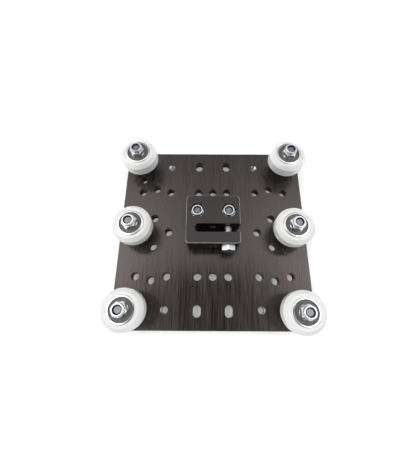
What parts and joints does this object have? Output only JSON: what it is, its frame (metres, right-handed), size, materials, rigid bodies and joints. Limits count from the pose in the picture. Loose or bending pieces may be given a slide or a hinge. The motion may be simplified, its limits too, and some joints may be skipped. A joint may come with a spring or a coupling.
{
  "type": "gantry plate",
  "caption": "Square anodised gantry plate on V wheels with eccentric spacers and a spring-slotted lead screw nut block.",
  "frame": {"origin": "centre of the plate's underside, the face that the payload bolts to", "axes": "+Z from the plate towards the wheels, +Y along the travel away from the adjusting screw's head, +X towards the eccentric wheels"},
  "size_m": [0.1252, 0.126, 0.0305],
  "materials": {
    "anodised_plate": "black anodised, brushed",
    "anodised_block": "black anodised, fine blasted",
    "spacer_aluminium": "turned",
    "black_steel": "black oxide",
    "zinc_steel": "bright zinc",
    "bright_steel": "turned",
    "bearing_steel": "ground",
    "seal_rubber": "satin",
    "nylon": "satin",
    "nylon_cage": "satin",
    "polycarbonate": "clear, milky"
  },
  "bodies": {
    "plate": {"gantry_plate": "anodised_plate", "nut_block": "anodised_block", "block_spacers": "spacer_aluminium", "block_screws": "black_steel", "fixed_lock_nuts": "zinc_steel", "fixed_nut_inserts": "nylon", "fixed_axle_screws": "black_steel", "fixed_spacers": "spacer_aluminium", "fixed_shims": "bright_steel", "fixed_inner_rings": "bearing_steel"},
    "adjuster": {"adjusting_screw": "zinc_steel"},
    "wheel_left_front": {"wheel_left_front": "polycarbonate", "outer_rings_left_front": "bearing_steel", "seals_left_front": "seal_rubber"},
    "ball_sets_left_front": {"balls_left_front": "bearing_steel", "cages_left_front": "nylon_cage"},
    "wheel_right_front": {"wheel_right_front": "polycarbonate", "outer_rings_right_front": "bearing_steel", "seals_right_front": "seal_rubber"},
    "ball_sets_right_front": {"balls_right_front": "bearing_steel", "cages_right_front": "nylon_cage"},
    "eccentric_axle_right_front": {"eccentric_spacer_right_front": "bright_steel", "axle_screw_right_front": "black_steel", "shims_right_front": "bright_steel", "inner_rings_right_front": "bearing_steel", "lock_nut_right_front": "zinc_steel", "nut_insert_right_front": "nylon"},
    "wheel_left_middle": {"wheel_left_middle": "polycarbonate", "outer_rings_left_middle": "bearing_steel", "seals_left_middle": "seal_rubber"},
    "ball_sets_left_middle": {"balls_left_middle": "bearing_steel", "cages_left_middle": "nylon_cage"},
    "wheel_right_middle": {"wheel_right_middle": "polycarbonate", "outer_rings_right_middle": "bearing_steel", "seals_right_middle": "seal_rubber"},
    "ball_sets_right_middle": {"balls_right_middle": "bearing_steel", "cages_right_middle": "nylon_cage"},
    "eccentric_axle_right_middle": {"eccentric_spacer_right_middle": "bright_steel", "axle_screw_right_middle": "black_steel", "shims_right_middle": "bright_steel", "inner_rings_right_middle": "bearing_steel", "lock_nut_right_middle": "zinc_steel", "nut_insert_right_middle": "nylon"},
    "wheel_left_rear": {"wheel_left_rear": "polycarbonate", "outer_rings_left_rear": "bearing_steel", "seals_left_rear": "seal_rubber"},
    "ball_sets_left_rear": {"balls_left_rear": "bearing_steel", "cages_left_rear": "nylon_cage"},
    "wheel_right_rear": {"wheel_right_rear": "polycarbonate", "outer_rings_right_rear": "bearing_steel", "seals_right_rear": "seal_rubber"},
    "ball_sets_right_rear": {"balls_right_rear": "bearing_steel", "cages_right_rear": "nylon_cage"},
    "eccentric_axle_right_rear": {"eccentric_spacer_right_rear": "bright_steel", "axle_screw_right_rear": "black_steel", "shims_right_rear": "bright_steel", "inner_rings_right_rear": "bearing_steel", "lock_nut_right_rear": "zinc_steel", "nut_insert_right_rear": "nylon"}
  },
  "joints": [
    {"name": "adjusting_screw_turn", "type": "hinge", "parent": "plate", "child": "adjuster", "pos_m": [0.0095, -0.012, 0.015], "axis": [0, 1, 0], "range_deg": [-90, 90]},
    {"name": "wheel_left_front_spin", "type": "hinge", "parent": "plate", "child": "wheel_left_front", "pos_m": [-0.0505, -0.0505, 0.0185], "axis": [0, 0, 1], "continuous": true},
    {"name": "ball_sets_left_front_roll", "type": "hinge", "parent": "plate", "child": "ball_sets_left_front", "pos_m": [-0.0505, -0.0505, 0.0185], "axis": [0, 0, 1], "continuous": true},
    {"name": "eccentric_right_front_turn", "type": "hinge", "parent": "plate", "child": "eccentric_axle_right_front", "pos_m": [0.0505, -0.0505, 0.006], "axis": [0, 0, 1], "range_deg": [-90, 90]},
    {"name": "wheel_right_front_spin", "type": "hinge", "parent": "eccentric_axle_right_front", "child": "wheel_right_front", "pos_m": [0.0505, -0.05129, 0.0185], "axis": [0, 0, 1], "continuous": true},
    {"name": "ball_sets_right_front_roll", "type": "hinge", "parent": "eccentric_axle_right_front", "child": "ball_sets_right_front", "pos_m": [0.0505, -0.05129, 0.0185], "axis": [0, 0, 1], "continuous": true},
    {"name": "wheel_left_middle_spin", "type": "hinge", "parent": "plate", "child": "wheel_left_middle", "pos_m": [-0.0505, 0, 0.0185], "axis": [0, 0, 1], "continuous": true},
    {"name": "ball_sets_left_middle_roll", "type": "hinge", "parent": "plate", "child": "ball_sets_left_middle", "pos_m": [-0.0505, 0, 0.0185], "axis": [0, 0, 1], "continuous": true},
    {"name": "eccentric_right_middle_turn", "type": "hinge", "parent": "plate", "child": "eccentric_axle_right_middle", "pos_m": [0.0505, 0, 0.006], "axis": [0, 0, 1], "range_deg": [-90, 90]},
    {"name": "wheel_right_middle_spin", "type": "hinge", "parent": "eccentric_axle_right_middle", "child": "wheel_right_middle", "pos_m": [0.0505, -0.00079, 0.0185], "axis": [0, 0, 1], "continuous": true},
    {"name": "ball_sets_right_middle_roll", "type": "hinge", "parent": "eccentric_axle_right_middle", "child": "ball_sets_right_middle", "pos_m": [0.0505, -0.00079, 0.0185], "axis": [0, 0, 1], "continuous": true},
    {"name": "wheel_left_rear_spin", "type": "hinge", "parent": "plate", "child": "wheel_left_rear", "pos_m": [-0.0505, 0.0505, 0.0185], "axis": [0, 0, 1], "continuous": true},
    {"name": "ball_sets_left_rear_roll", "type": "hinge", "parent": "plate", "child": "ball_sets_left_rear", "pos_m": [-0.0505, 0.0505, 0.0185], "axis": [0, 0, 1], "continuous": true},
    {"name": "eccentric_right_rear_turn", "type": "hinge", "parent": "plate", "child": "eccentric_axle_right_rear", "pos_m": [0.0505, 0.0505, 0.006], "axis": [0, 0, 1], "range_deg": [-90, 90]},
    {"name": "wheel_right_rear_spin", "type": "hinge", "parent": "eccentric_axle_right_rear", "child": "wheel_right_rear", "pos_m": [0.0505, 0.04971, 0.0185], "axis": [0, 0, 1], "continuous": true},
    {"name": "ball_sets_right_rear_roll", "type": "hinge", "parent": "eccentric_axle_right_rear", "child": "ball_sets_right_rear", "pos_m": [0.0505, 0.04971, 0.0185], "axis": [0, 0, 1], "continuous": true}
  ],
  "couplings": [
    {"joint": "ball_sets_left_front_roll", "follows": "wheel_left_front_spin", "ratio": 0.6323},
    {"joint": "ball_sets_right_front_roll", "follows": "wheel_right_front_spin", "ratio": 0.6323},
    {"joint": "ball_sets_left_middle_roll", "follows": "wheel_left_middle_spin", "ratio": 0.6323},
    {"joint": "ball_sets_right_middle_roll", "follows": "wheel_right_middle_spin", "ratio": 0.6323},
    {"joint": "ball_sets_left_rear_roll", "follows": "wheel_left_rear_spin", "ratio": 0.6323},
    {"joint": "ball_sets_right_rear_roll", "follows": "wheel_right_rear_spin", "ratio": 0.6323}
  ]
}
